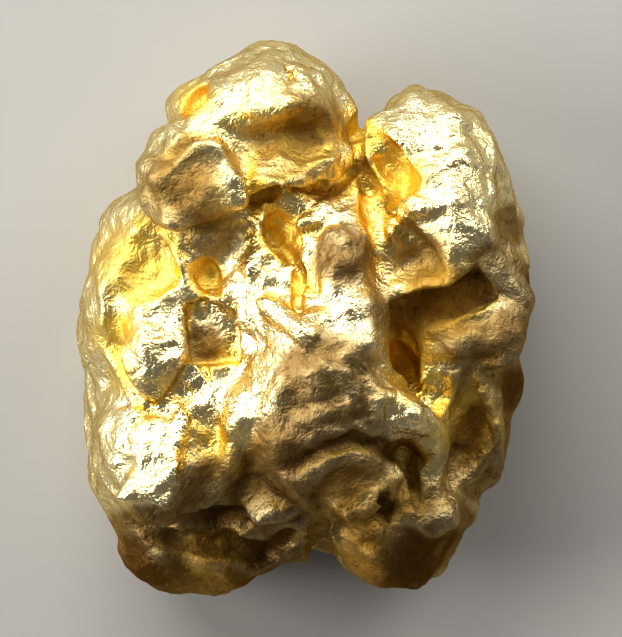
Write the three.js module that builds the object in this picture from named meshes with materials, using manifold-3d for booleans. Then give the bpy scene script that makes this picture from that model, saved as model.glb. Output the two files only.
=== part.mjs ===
// A natural gold nugget, one solid piece of native gold, lying on the worn flat of its underside.
// Millimetres, +Z up. The origin is the middle of the nugget's footprint, on what it lies on.
// +Y runs along the nugget from its two blunt feet to its crown, and +X towards its horn.
//
// The nugget is one smooth field: rounded lobes of gold grown into each other, ridges and lumps on
// the upper face, and the hollows, pits and creases between them. The field is negative inside the
// gold, and the skin is where it is zero.

import * as THREE from "three";
import { MarchingCubes } from "three/addons/objects/MarchingCubes.js";
import { mergeVertices } from "three/addons/utils/BufferGeometryUtils.js";
import Module from "manifold-3d";

// ---- Driving dimensions, mm ----
const WIDTH = 11.5; // along X
const LENGTH = 14.0; // along Y
const HEIGHT = 6.9; // along Z, from the worn flat to the highest lobe
const FLAT_LEVEL = 0.6; // height in the field at which the underside is worn flat

// ---- How the skin is found ----
const CUBE = 16; // edge of the cube that the field is read in, mm
const CUBE_CENTRE = [0, 0, 4]; // its centre
const CELLS = 40; // cells along each edge of the cube
const MARGIN = 0.12; // least distance of the skin from a cell's corner, in cells
const MOST_TRIANGLES = 20000;
const ALIKE = 1e-4; // corners closer than this are one corner
const ABOVE_ALL = 8.6; // height above every lobe, from which the upper face is looked for
const STEP = 0.06; // length of one step when looking down for the upper face
const HALVINGS = 14; // how often the last step is then halved
const NO_GOLD_TOP = 4; // height given to a form at a place with no gold under it
const OPEN_AIR = 3; // value of the field away from all gold
const FADE = 0.65; // how far beyond its own size a form still counts

// Slow bends that take the regularity out of every form: [size of one bend, amount, phase].
const BENDS = [
  [4.1, 0.13, 0.4],
  [1.9, 0.055, 1.7],
  [0.93, 0.018, 2.9],
  [0.47, 0.005, 4.3],
];

// ---- The forms, in the order they are put on ----
// egg: an ellipsoid with its centre, half sizes and turns about X, then Y, then Z in degrees.
// block: a box with rounded edges, given the same way, with its rounding last.
// run: a run of round links, each with its centre and radius.
// Every form has a blend, the width of the soft join around it. Those in SURFACE lists are set on the
// upper face as it is so far: their Z is counted from the height of the gold at their X and Y.

// The way from the piece's axes to a form's own axes.
function axesOf(turn) {
  const [rx, ry, rz] = turn.map(THREE.MathUtils.degToRad);
  return new THREE.Quaternion().setFromEuler(new THREE.Euler(rx, ry, rz, "ZYX")).invert();
}

function egg(name, centre, size, turn, blend) {
  return { kind: "egg", name, centre, size, axes: axesOf(turn), blend };
}

function block(name, centre, size, turn, blend, rounding) {
  return { kind: "block", name, centre, size, axes: axesOf(turn), blend, rounding };
}

function run(name, blend, ...links) {
  return { kind: "run", name, blend, links };
}

const LOBES = [
  egg("core", [0, -0.8, 3.3], [4.7, 5.3, 3], [0, 0, 0], 0.6),
  egg("crown", [-0.85, 4.6, 3.9], [2.1, 2.4, 2.45], [0, 0, 0], 0.5),
  egg("crown, left part", [-1.95, 4.6, 3.9], [1.6, 1.75, 2.2], [0, 0, 0], 0.4),
  egg("horn", [3.05, 3.85, 3.8], [1.8, 2, 2.15], [0, 0, 0], 0.35),
  egg("horn root", [3.7, 2, 3.5], [1.6, 1.5, 3.05], [0, 0, 0], 0.5),
  egg("horn saddle", [3.6, 2.95, 3.6], [1.5, 1.3, 2.6], [0, 0, 0], 0.5),
  egg("right shoulder", [3.55, 0.85, 3.7], [2.15, 2.1, 2.6], [0, 0, 0], 0.4),
  egg("left shoulder", [-3.5, 0.35, 3.2], [2.12, 3.3, 2.8], [0, 0, 0], 0.4),
  egg("left hip", [-3.5, -3.1, 3.1], [2, 2.45, 3], [0, 0, 0], 0.5),
  egg("centre", [0.5, -1.7, 4.2], [2.5, 3.3, 3.2], [0, 0, 0], 0.35),
  egg("right flank", [3.6, -1.8, 3.2], [1.75, 2.8, 2.6], [0, 0, 0], 0.4),
  egg("right foot", [2.25, -4.5, 3.2], [1.98, 2.3, 2.6], [0, 0, 0], 0.25),
  egg("left foot", [-2.2, -4.9, 2.8], [2.2, 2, 2.2], [0, 0, 0], 0.2),
  egg("left heel", [-3.55, -5.65, 2.6], [1.2, 1.25, 1.8], [0, 0, 0], 0.4),
  egg("neck", [-2.2, 2.5, 5], [1.1, 0.9, 1], [0, 0, 0], 0.3),
  egg("left knuckle", [-4.8, -1.6, 2.5], [0.85, 1.3, 1.2], [0, 0, 0], 0.4),
  egg("right knuckle", [4.8, 1.7, 2.4], [0.85, 1.4, 1.1], [0, 0, 0], 0.4),
  egg("back of the crown", [-0.7, 5.7, 2.6], [1.5, 1.1, 1.1], [0, 0, 0], 0.4),
  egg("back of the horn", [3.4, 4.5, 2.3], [1.2, 1, 1], [0, 0, 0], 0.4),
  egg("left under-lobe", [-2.4, 2.6, 1.4], [1.7, 1.5, 0.8], [0, 0, 20], 0.3),
  egg("right under-lobe", [2.3, -3, 1.2], [1.6, 1.9, 0.7], [0, 0, -15], 0.3),
];

const SIDE_HOLLOWS = [
  egg("left dent", [-5.85, 1.7, 2.6], [0.6, 1, 0.7], [0, 0, 0], 0.3),
  egg("left lower dent", [-5.55, -3.9, 2], [0.6, 0.8, 0.6], [0, 0, 0], 0.25),
  egg("right dent", [5.95, -0.5, 2.5], [0.55, 0.9, 0.8], [0, 0, 0], 0.3),
  egg("right lower dent", [5.2, -3.7, 1.9], [0.6, 0.9, 0.5], [0, 0, 0], 0.25),
  egg("crown dent", [-2.7, 6.35, 2.8], [0.7, 0.5, 0.9], [0, 0, 25], 0.25),
  run("cleft behind", 0.25, [1.5, 6.3, 4.4, 0.42], [1.5, 5.6, 2.6, 0.5], [1.4, 4.4, 1.3, 0.4]),
  egg("pit below, left", [-2.9, -1.7, 0.75], [0.6, 0.9, 0.4], [0, 0, 30], 0.15),
  egg("pit below, right", [2.9, 1.5, 0.85], [0.8, 0.55, 0.4], [0, 0, -20], 0.15),
  run("groove below", 0.15, [-4.2, 0.9, 1.5, 0.3], [-2.4, 1, 0.65, 0.25], [-0.6, 2.6, 0.6, 0.2]),
];

const SURFACE_RIDGES = [
  run("shelf under the crown", 0.2,
    [-1.4, 3.45, -0.1, 0.38], [-0.5, 3.8, -0.1, 0.42], [0.5, 3.95, -0.1, 0.42],
    [1.15, 4.2, -0.1, 0.35]),
  run("upper ridge", 0.12, [1.1, 3.35, -0.1, 0.26], [0.4, 2.8, 0, 0.32], [-0.2, 2.35, -0.1, 0.24]),
  run("left ridge", 0.12, [-1.05, 2.8, -0.05, 0.22], [-0.95, 2.1, 0, 0.27], [-1.15, 1.2, -0.1, 0.25]),
  run("column", 0.3,
    [1.1, 2.9, -0.2, 0.5], [0.8, 1.8, 0, 0.62], [0.85, 0.6, 0, 0.62], [1.5, -0.6, -0.1, 0.5]),
  run("horn ridge", 0.3, [2.9, 2.85, -0.1, 0.35], [2.35, 2.4, 0, 0.42], [1.85, 1.9, -0.1, 0.3]),
  egg("plateau", [-3.7, -0.8, -0.3], [0.75, 1.15, 0.6], [-10, 0, 12], 0.15),
  run("socket's lower lobe", 0.25,
    [2.75, -0.65, -0.1, 0.35], [3.6, -0.65, 0, 0.5], [4.6, -0.55, 0, 0.62], [5.1, 0.5, -0.1, 0.5]),
  run("long band", 0.3,
    [-1.35, -1.7, -0.1, 0.3], [-1.6, -2.85, 0, 0.34], [-2.05, -3.75, 0, 0.34], [-2.6, -4.8, -0.1, 0.3]),
  run("ledge and arm", 0.25,
    [1.6, -1.6, -0.15, 0.35], [2.3, -2.15, 0, 0.48], [3, -2.65, 0, 0.5], [3.35, -3.3, 0, 0.46],
    [3.5, -4.1, 0, 0.42], [3.55, -4.9, -0.1, 0.35]),
  egg("gold behind the hip facet", [-3.6, -4.3, -0.5], [0.8, 1, 0.75], [0, 0, -11], 0.3),
  egg("lump on the right foot", [1.45, -4.15, -0.05], [0.95, 0.85, 0.5], [0, 0, 0], 0.15),
  egg("lump over the left foot", [-1.4, -4.1, -0.16], [0.7, 0.5, 0.35], [0, 0, 15], 0.2),
  egg("small lump on the centre", [0.35, -1.8, -0.12], [0.42, 0.62, 0.3], [0, 0, 10], 0.12),
  run("inner fold", 0.1,
    [0.1, -0.95, -0.05, 0.12], [0.8, -1.2, 0, 0.16], [1.1, -1.9, 0, 0.17], [0.95, -2.7, -0.05, 0.14]),
  run("outer fold", 0.1,
    [0.9, -0.75, -0.05, 0.12], [1.45, -1.3, 0, 0.17], [1.65, -2.1, 0, 0.18], [1.5, -2.9, -0.05, 0.14]),
  egg("lump on the left foot", [-0.95, -4.85, -0.1], [0.55, 0.45, 0.35], [0, 0, -10], 0.15),
];

const SURFACE_HOLLOWS = [
  egg("hollow under the crown", [-0.6, 4.55, 0.35], [1.7, 0.85, 0.95], [5, 0, 8], 0.4),
  egg("its deepest corner", [0.2, 4.65, -0.05], [0.78, 0.5, 0.5], [6, 0, 0], 0.35),
  run("crown crevice", 0.12,
    [-1.35, 3, -0.1, 0.2], [-0.6, 3.3, -0.3, 0.26], [0.35, 3.5, -0.4, 0.28], [1.15, 3.8, -0.35, 0.24],
    [1.5, 4.6, -0.5, 0.22], [1.5, 5.4, -1, 0.25]),
  egg("basin", [-4.15, 1.35, 0.2], [0.98, 1.15, 0.8], [-14, 0, -25], 0.2),
  run("basin channel", 0.2,
    [-4.6, 0.6, 0.1, 0.42], [-4.72, -0.5, 0, 0.38], [-4.5, -1.4, 0.1, 0.3], [-4, -2.1, 0.1, 0.2]),
  run("edge of the plateau", 0.08, [-4.35, 0.3, 0, 0.1], [-4.4, -0.4, 0, 0.12], [-4.1, -1.25, 0, 0.1]),
  egg("round pit", [-2.45, 1.05, 0.2], [0.42, 0.6, 0.55], [0, 0, 15], 0.14),
  block("square recess", [-2.4, -0.4, 0.26], [0.62, 0.85, 0.5], [10, -20, 8], 0.12, 0.15),
  run("edge of the recess", 0.06,
    [-3, 0.25, 0, 0.07], [-2.98, -0.55, -0.02, 0.1], [-2.6, -1.15, 0, 0.1], [-2.3, -1.5, 0, 0.07]),
  egg("wedge pit", [-0.6, 2.1, 0.2], [0.4, 0.75, 0.65], [0, 0, 20], 0.15),
  run("slit", 0.06,
    [-0.32, 1.7, -0.2, 0.14], [-0.17, 1.2, -0.25, 0.15], [-0.1, 0.7, -0.25, 0.15],
    [-0.05, 0.1, -0.2, 0.12]),
  run("valley", 0.2, [1.5, 3.3, 0, 0.25], [1.65, 2.5, 0.05, 0.3], [1.75, 1.5, 0, 0.25]),
  run("half-moon pocket", 0.12,
    [1.8, 4.5, -0.3, 0.22], [2.15, 3.95, -0.1, 0.42], [2.42, 3.5, -0.1, 0.52],
    [2.25, 2.95, -0.1, 0.38], [2.1, 2.7, 0, 0.15]),
  egg("hollow over the socket", [2.6, 1.5, 0.6], [0.85, 0.55, 0.75], [0, 0, 20], 0.4),
  block("socket", [3.42, 0.36, 0], [1.35, 0.52, 1.15], [4, 2, 25], 0.08, 0.2),
  egg("socket tail", [2.5, -0.6, -0.1], [0.45, 0.7, 0.9], [0, 0, 5], 0.2),
  egg("right crevice", [2.5, -1.3, -0.1], [0.55, 0.95, 1], [0, 0, 22], 0.15),
  egg("hollow over the scoop", [3.5, -1.9, 0.05], [0.6, 0.55, 0.7], [0, 0, 0], 0.2),
  egg("flank scoop", [4.1, -2.95, 0], [0.7, 1.6, 1.1], [0, 0, -6], 0.2),
  egg("trough beside the hip facet", [-2.65, -3.6, 0.4], [0.55, 1.3, 0.55], [0, 10, -18], 0.2),
  run("arc over the right foot", 0.15,
    [-0.8, -3.5, 0, 0.1], [0, -3.7, -0.05, 0.2], [0.55, -3.4, -0.08, 0.22], [1.1, -3.1, -0.1, 0.24],
    [1.8, -3.05, -0.12, 0.26], [2.5, -3.45, -0.1, 0.26], [2.8, -4.2, -0.05, 0.22],
    [2.95, -4.95, 0, 0.14]),
  run("hole in the right foot", 0.08,
    [2, -4.4, 0.05, 0.15], [2.05, -4.75, -0.05, 0.24], [2.1, -5.05, 0.05, 0.15]),
  run("crease between the feet", 0.15,
    [0.3, -4.4, -0.05, 0.12], [0.3, -5.2, -0.2, 0.2], [0.33, -6, -0.5, 0.32]),
  run("band over the left foot", 0.15,
    [-4, -5.3, 0, 0.16], [-3.3, -5.75, -0.1, 0.28], [-2.35, -5.85, -0.1, 0.34],
    [-1.1, -5.8, -0.1, 0.32], [-0.3, -5.5, -0.1, 0.22]),
  egg("hollow above the band", [-2.1, -5.2, 0.2], [0.95, 0.55, 0.55], [0, 0, 0], 0.2),
  egg("crown pocket", [-2.75, 5.55, 0.05], [0.34, 0.5, 0.4], [0, 0, -35], 0.12),
  run("crown crease", 0.08, [-0.45, 6.5, 0.02, 0.07], [-0.35, 5.8, 0.02, 0.07]),
];

// Sharp edges that stand up beside the hollows.
const SURFACE_EDGES = [
  block("hip facet", [-3.67, -3.6, -0.42], [0.62, 1.05, 0.45], [-12, -20, -11], 0.1, 0.12),
  block("small facet", [-3.3, -2.45, -0.3], [0.5, 0.42, 0.35], [-18, -16, 20], 0.08, 0.1),
  block("ledge", [2.2, -2.1, -0.38], [0.75, 0.32, 0.35], [-20, 14, -33], 0.1, 0.12),
  run("bright ridge by the scoop", 0.08,
    [3.5, -3.9, -0.06, 0.12], [3.85, -4.4, 0, 0.17], [4.05, -4.75, -0.12, 0.1]),
  run("fold of the flank", 0.08,
    [4.45, -1.7, -0.06, 0.12], [4.7, -2.7, 0, 0.14], [4.6, -3.7, -0.06, 0.12]),
  run("thin line on the foot", 0.06,
    [1.1, -4.8, -0.02, 0.08], [1.4, -5.15, 0, 0.11], [1.75, -5.35, -0.02, 0.08]),
  run("small fold", 0.06,
    [-1.6, -0.95, -0.04, 0.1], [-1.3, -1.25, 0, 0.14], [-0.95, -1.35, -0.04, 0.1]),
  run("vee", 0.15, [-0.8, 0.3, -0.1, 0.26], [-0.1, -0.35, -0.02, 0.34], [0.65, 0.25, -0.1, 0.28]),
];

// The fist and its groove come after the rest, so that the hollows around stay behind the fist.
const FIST_GROOVE = [
  run("groove around the fist", 0.1,
    [-4, 2.75, 5.3, 0.12], [-3.1, 2.55, 5.5, 0.2], [-2, 2.95, 5.6, 0.24], [-1.45, 3.5, 5.7, 0.2]),
];

const FIST = [
  block("fist", [-2.7, 3.48, 5.65], [1.12, 0.9, 1.05], [6, -2, 21], 0.15, 0.36),
  egg("left side of the fist", [-3.55, 3.1, 5.1], [0.52, 0.7, 1.2], [0, 0, 8], 0.3),
  egg("root of the fist", [-3.3, 4.45, 4.9], [0.5, 0.65, 1.1], [0, 0, -15], 0.3),
];

const NOTCH = [
  run("notch between the feet", 0.3,
    [0.33, -5.8, 4.4, 0.2], [0.35, -6.15, 3.2, 0.45], [0.35, -6.5, 1.8, 0.6], [0.3, -6.5, 0.4, 0.7]),
];

// ---- The field ----

function bend([x, y, z]) {
  const out = [x, y, z];
  for (const [size, amount, phase] of BENDS) {
    const turn = (2 * Math.PI) / size;
    const [u, v, w] = [out[0] * turn, out[1] * turn, out[2] * turn];
    out[0] += amount * Math.sin(1.03 * v + 0.6 * u + phase + 1.3 * Math.sin(1.4 * w + phase));
    out[1] += amount * Math.sin(1.1 * w + 0.5 * v + 2 * phase + 1.3 * Math.sin(1.3 * u + phase));
    out[2] += amount * Math.sin(0.94 * u + 0.4 * w + 3 * phase + 1.3 * Math.sin(1.5 * v + phase));
  }
  return out;
}

// A point seen from a form's own centre and along its own axes.
function local(point, { centre, axes }) {
  return new THREE.Vector3(...point).sub(new THREE.Vector3(...centre)).applyQuaternion(axes).toArray();
}

const DISTANCE = {
  egg(point, form) {
    const p = local(point, form);
    const over = Math.hypot(...p.map((v, i) => v / form.size[i])) + 1e-9;
    const slope = Math.hypot(...p.map((v, i) => v / form.size[i] ** 2)) + 1e-9;
    return (over * (over - 1)) / slope;
  },
  block(point, form) {
    const p = local(point, form);
    const q = p.map((v, i) => Math.abs(v) - form.size[i] + form.rounding);
    const outside = Math.hypot(...q.map((v) => Math.max(v, 0)));
    return outside + Math.min(Math.max(...q), 0) - form.rounding;
  },
  run([x, y, z], { links }) {
    let nearest = Infinity;
    for (let i = 1; i < links.length; i++) {
      const [a, b] = [links[i - 1], links[i]];
      const [bx, by, bz] = [b[0] - a[0], b[1] - a[1], b[2] - a[2]];
      const [px, py, pz] = [x - a[0], y - a[1], z - a[2]];
      const along = (px * bx + py * by + pz * bz) / (bx * bx + by * by + bz * bz);
      const share = THREE.MathUtils.clamp(along, 0, 1);
      const radius = THREE.MathUtils.lerp(a[3], b[3], share);
      const gap = Math.hypot(px - share * bx, py - share * by, pz - share * bz);
      nearest = Math.min(nearest, gap - radius);
    }
    return nearest;
  },
};

// The smaller of two distances, with a soft join of the given width.
function softly(a, b, width) {
  const share = THREE.MathUtils.clamp(0.5 + (0.5 * (b - a)) / width, 0, 1);
  return THREE.MathUtils.lerp(b, a, share) - width * share * (1 - share);
}

// The ball around a form beyond which it can be left out.
function ballAround(form) {
  if (form.kind !== "run") {
    return [form.centre, Math.hypot(...form.size) + form.blend + FADE];
  }
  const middle = [0, 1, 2].map((i) => {
    const values = form.links.map((link) => link[i]);
    return (Math.min(...values) + Math.max(...values)) / 2;
  });
  const far = form.links.map((l) => Math.hypot(...middle.map((m, i) => l[i] - m)) + l[3]);
  return [middle, Math.max(...far) + form.blend + FADE];
}

const placed = [];

// Distance to the nugget's skin as made so far; negative is inside the gold.
function field(point) {
  const p = bend(point);
  let value = OPEN_AIR;
  for (const { form, hollow, middle, reach } of placed) {
    if (Math.hypot(p[0] - middle[0], p[1] - middle[1], p[2] - middle[2]) > reach) continue;
    const distance = DISTANCE[form.kind](p, form);
    value = hollow ? -softly(-value, distance, form.blend) : softly(value, distance, form.blend);
  }
  return value;
}

// The first gold met on the way from start to end, as a share of the way; null if there is none.
function firstGold(start, end) {
  const steps = Math.ceil(Math.hypot(...end.map((v, i) => v - start[i])) / STEP);
  const at = (share) => start.map((v, i) => THREE.MathUtils.lerp(v, end[i], share));
  for (let i = 1; i <= steps; i++) {
    if (field(at(i / steps)) >= 0) continue;
    let [outer, inner] = [(i - 1) / steps, i / steps];
    for (let n = 0; n < HALVINGS; n++) {
      const mid = (outer + inner) / 2;
      if (field(at(mid)) < 0) inner = mid;
      else outer = mid;
    }
    return inner;
  }
  return null;
}

// Height of the upper face at a place.
function topAt(x, y) {
  const share = firstGold([x, y, ABOVE_ALL], [x, y, 0]);
  return share === null ? NO_GOLD_TOP : THREE.MathUtils.lerp(ABOVE_ALL, 0, share);
}

// Sets a form of a SURFACE list on the upper face.
function seated(form) {
  const onTop = ([x, y, z, ...rest]) => [x, y, z + topAt(x, y), ...rest];
  return form.kind === "run"
    ? { ...form, links: form.links.map(onTop) }
    : { ...form, centre: onTop(form.centre) };
}

function put(forms, { hollow = false, onSurface = false } = {}) {
  for (const plain of forms) {
    const form = onSurface ? seated(plain) : plain;
    const [middle, reach] = ballAround(form);
    placed.push({ form, hollow, middle, reach });
  }
}

put(LOBES);
put(SIDE_HOLLOWS, { hollow: true });
put(SURFACE_RIDGES, { onSurface: true });
put(SURFACE_HOLLOWS, { hollow: true, onSurface: true });
put(SURFACE_EDGES, { onSurface: true });
put(FIST_GROOVE, { hollow: true });
put(FIST);
put(NOTCH, { hollow: true });

// ---- The skin ----

// The field is read at the corners of a cube of small cells, and a skin of triangles is drawn where
// it changes sign. No corner is read as closer to the skin than MARGIN of a cell, so that no
// triangle is a sliver.
function skin() {
  const cells = new MarchingCubes(CELLS, undefined, false, false, MOST_TRIANGLES);
  const half = CELLS / 2;
  const least = MARGIN * (CUBE / CELLS);
  for (let k = 0; k < CELLS; k++) {
    for (let j = 0; j < CELLS; j++) {
      for (let i = 0; i < CELLS; i++) {
        const corner = [i, j, k].map((n, axis) => CUBE_CENTRE[axis] + ((n - half) / half) * (CUBE / 2));
        const value = field(corner);
        const kept = Math.max(Math.abs(value), least);
        cells.field[i + CELLS * (j + CELLS * k)] = value < 0 ? kept : -kept;
      }
    }
  }
  cells.isolation = 0;
  cells.update();

  const corners = cells.geometry.getAttribute("position").array.slice(0, 3 * cells.count);
  const loose = new THREE.BufferGeometry();
  loose.setAttribute("position", new THREE.BufferAttribute(corners, 3));
  loose.scale(CUBE / 2, CUBE / 2, CUBE / 2);
  loose.translate(...CUBE_CENTRE);
  return mergeVertices(loose, ALIKE);
}

function toManifold(wasm, geometry) {
  const mesh = new wasm.Mesh({
    numProp: 3,
    vertProperties: new Float32Array(geometry.getAttribute("position").array),
    triVerts: new Uint32Array(geometry.index.array),
  });
  return new wasm.Manifold(mesh);
}

function toGeometry(manifold) {
  const mesh = manifold.getMesh();
  const geometry = new THREE.BufferGeometry();
  geometry.setAttribute("position", new THREE.BufferAttribute(mesh.vertProperties, 3));
  geometry.setIndex(new THREE.BufferAttribute(mesh.triVerts, 1));
  return geometry;
}

// The skin alone, without the closed bubbles of one cell that thin ends of pits leave inside the gold.
function outerSkin(wasm, geometry) {
  const shells = toManifold(wasm, geometry).decompose();
  return shells.reduce((kept, shell) => (shell.volume() > kept.volume() ? shell : kept));
}

// Everything below the worn flat is taken away.
function wornFlat(wasm, solid) {
  const below = new THREE.BoxGeometry(2 * WIDTH, 2 * LENGTH, HEIGHT);
  below.translate(0, 0, FLAT_LEVEL - HEIGHT / 2);
  below.deleteAttribute("normal");
  below.deleteAttribute("uv");
  return toGeometry(solid.subtract(toManifold(wasm, mergeVertices(below, ALIKE))));
}

// Centres the footprint on the origin, sets the flat at zero and brings the nugget to its size.
function toSize(geometry) {
  geometry.computeBoundingBox();
  const { min, max } = geometry.boundingBox;
  geometry.translate(-(min.x + max.x) / 2, -(min.y + max.y) / 2, -min.z);
  geometry.scale(WIDTH / (max.x - min.x), LENGTH / (max.y - min.y), HEIGHT / (max.z - min.z));
  return geometry;
}

const wasm = await Module();
wasm.setup();

const gold = new THREE.MeshStandardMaterial({ name: "gold", color: 0xe3b94f, metalness: 1, roughness: 0.32 });
const nugget = new THREE.Mesh(toSize(wornFlat(wasm, outerSkin(wasm, skin()))), gold);
nugget.name = "nugget";

const part = new THREE.Group();
part.name = "gold_nugget";
part.add(nugget);

export default part;
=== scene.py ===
"""A natural gold nugget: one lump of native gold lying on the worn flat of its underside.

The nugget is one smooth field of rounded lobes grown into each other, with ridges, lumps, pits and
creases on its upper face. A fine skin is drawn where the field is zero, and its natural roughness
is then raised in it. The forms, the cells and the relief are in millimetres. The scene, the size
settings, the studio and the lengths in the finish are in metres.
"""

import math
from itertools import product

import bpy
import numpy as np
from bpy.props import FloatProperty, FloatVectorProperty, PointerProperty
from mathutils import Euler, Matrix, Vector, noise


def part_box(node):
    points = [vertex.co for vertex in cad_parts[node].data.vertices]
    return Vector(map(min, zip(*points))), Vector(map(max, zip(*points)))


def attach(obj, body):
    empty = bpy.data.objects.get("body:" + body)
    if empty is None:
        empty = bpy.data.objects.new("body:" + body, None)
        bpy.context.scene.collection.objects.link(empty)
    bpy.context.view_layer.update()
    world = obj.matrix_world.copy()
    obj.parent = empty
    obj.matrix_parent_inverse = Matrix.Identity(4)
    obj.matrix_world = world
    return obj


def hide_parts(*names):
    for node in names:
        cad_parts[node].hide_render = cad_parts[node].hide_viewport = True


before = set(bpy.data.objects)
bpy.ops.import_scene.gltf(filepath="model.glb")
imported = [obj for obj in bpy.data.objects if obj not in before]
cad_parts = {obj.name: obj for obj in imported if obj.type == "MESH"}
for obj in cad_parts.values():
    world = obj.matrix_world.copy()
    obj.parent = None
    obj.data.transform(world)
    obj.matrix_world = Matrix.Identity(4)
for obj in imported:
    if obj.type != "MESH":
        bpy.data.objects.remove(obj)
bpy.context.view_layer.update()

bl_info = {
    "name": "Gold nugget",
    "version": (1, 0, 0),
    "blender": (4, 5, 0),
    "location": "View3D > Sidebar > Nugget",
    "description": "Builds a natural gold nugget and a plain studio around it",
    "category": "Add Mesh",
}

WARM = (1.0, 0.98, 0.92)  # colour of the lights
LOW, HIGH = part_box("nugget")
FLAT_LEVEL = 0.6  # height in the field at which the underside is worn flat
PICTURE_SHARE = 0.7363  # the nugget's share of the picture's width
PICTURE_SHIFT = (0.01125, 0.0008)  # how far the picture's middle is shifted, as shares of its width

# ---- The field's forms ------------------------------------------------------------------------
# Slow bends that take the regularity out of every form: size of one bend, amount, phase.
BENDS = ((4.1, 0.13, 0.4), (1.9, 0.055, 1.7), (0.93, 0.018, 2.9), (0.47, 0.005, 4.3))

FIELD_LOW = np.array((-6.5, -7.7, 0.0))
FIELD_HIGH = np.array((6.5, 7.7, 8.6))
OPEN_AIR = 3.0  # value of the field away from all gold
FADE = 0.65  # how far beyond its own size a form still counts
NO_GOLD_TOP = 4.0  # height given to a form at a place with no gold under it
NOISE_SEED = 7  # keeps the slow noises the same from run to run
TINY, TINIER = 1e-9, 1e-12  # keep a division from being by nothing
SLOPE_REACH = 0.7  # how far to each side of a point the field is read for its slope, in cells


def egg(centre, size, turn, blend):
    """An ellipsoid: its centre, half sizes, turns about X, Y and Z in degrees, and its soft join's width."""
    return {"kind": "egg", "centre": centre, "size": size, "turn": turn, "blend": blend}


def block(centre, size, turn, blend, rounding):
    """A box with rounded edges."""
    return {**egg(centre, size, turn, blend), "kind": "block", "rounding": rounding}


def run(blend, *links):
    """A run of round links, each with its centre and radius."""
    return {"kind": "run", "links": links, "blend": blend}


LOBES = (
    egg((0, -0.8, 3.3), (4.7, 5.3, 3.0), (0, 0, 0), 0.6),  # core
    egg((-0.85, 4.6, 3.9), (2.1, 2.4, 2.45), (0, 0, 0), 0.5),  # crown
    egg((-1.95, 4.6, 3.9), (1.6, 1.75, 2.2), (0, 0, 0), 0.4),  # crown, left part
    egg((3.05, 3.85, 3.8), (1.8, 2.0, 2.15), (0, 0, 0), 0.35),  # horn
    egg((3.7, 2.0, 3.5), (1.6, 1.5, 3.05), (0, 0, 0), 0.5),  # horn root
    egg((3.6, 2.95, 3.6), (1.5, 1.3, 2.6), (0, 0, 0), 0.5),  # horn saddle
    egg((3.55, 0.85, 3.7), (2.15, 2.1, 2.6), (0, 0, 0), 0.4),  # right shoulder
    egg((-3.5, 0.35, 3.2), (2.12, 3.3, 2.8), (0, 0, 0), 0.4),  # left shoulder
    egg((-3.5, -3.1, 3.1), (2.0, 2.45, 3.0), (0, 0, 0), 0.5),  # left hip
    egg((0.5, -1.7, 4.2), (2.5, 3.3, 3.2), (0, 0, 0), 0.35),  # centre
    egg((3.6, -1.8, 3.2), (1.75, 2.8, 2.6), (0, 0, 0), 0.4),  # right flank
    egg((2.25, -4.5, 3.2), (1.98, 2.3, 2.6), (0, 0, 0), 0.25),  # right foot
    egg((-2.2, -4.9, 2.8), (2.2, 2.0, 2.2), (0, 0, 0), 0.2),  # left foot
    egg((-3.55, -5.65, 2.6), (1.2, 1.25, 1.8), (0, 0, 0), 0.4),  # left heel
    egg((-2.2, 2.5, 5.0), (1.1, 0.9, 1.0), (0, 0, 0), 0.3),  # neck
    egg((-4.8, -1.6, 2.5), (0.85, 1.3, 1.2), (0, 0, 0), 0.4),  # left knuckle
    egg((4.8, 1.7, 2.4), (0.85, 1.4, 1.1), (0, 0, 0), 0.4),  # right knuckle
    egg((-0.7, 5.7, 2.6), (1.5, 1.1, 1.1), (0, 0, 0), 0.4),  # back of the crown
    egg((3.4, 4.5, 2.3), (1.2, 1.0, 1.0), (0, 0, 0), 0.4),  # back of the horn
    egg((-2.4, 2.6, 1.4), (1.7, 1.5, 0.8), (0, 0, 20), 0.3),  # left under-lobe
    egg((2.3, -3.0, 1.2), (1.6, 1.9, 0.7), (0, 0, -15), 0.3),  # right under-lobe
)

SIDE_HOLLOWS = (
    egg((-5.85, 1.7, 2.6), (0.6, 1.0, 0.7), (0, 0, 0), 0.3),  # left side, upper
    egg((-5.55, -3.9, 2.0), (0.6, 0.8, 0.6), (0, 0, 0), 0.25),  # left side, lower
    egg((5.95, -0.5, 2.5), (0.55, 0.9, 0.8), (0, 0, 0), 0.3),  # right side, upper
    egg((5.2, -3.7, 1.9), (0.6, 0.9, 0.5), (0, 0, 0), 0.25),  # right side, lower
    egg((-2.7, 6.35, 2.8), (0.7, 0.5, 0.9), (0, 0, 25), 0.25),  # behind the crown
    # cleft between the crown and the horn
    run(0.25, (1.5, 6.3, 4.4, 0.42), (1.5, 5.6, 2.6, 0.5), (1.4, 4.4, 1.3, 0.4)),
    egg((-2.9, -1.7, 0.75), (0.6, 0.9, 0.4), (0, 0, 30), 0.15),  # underside, left
    egg((2.9, 1.5, 0.85), (0.8, 0.55, 0.4), (0, 0, -20), 0.15),  # underside, right
    run(0.15, (-4.2, 0.9, 1.5, 0.3), (-2.4, 1.0, 0.65, 0.25), (-0.6, 2.6, 0.6, 0.2)),  # underside crease
)

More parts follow.
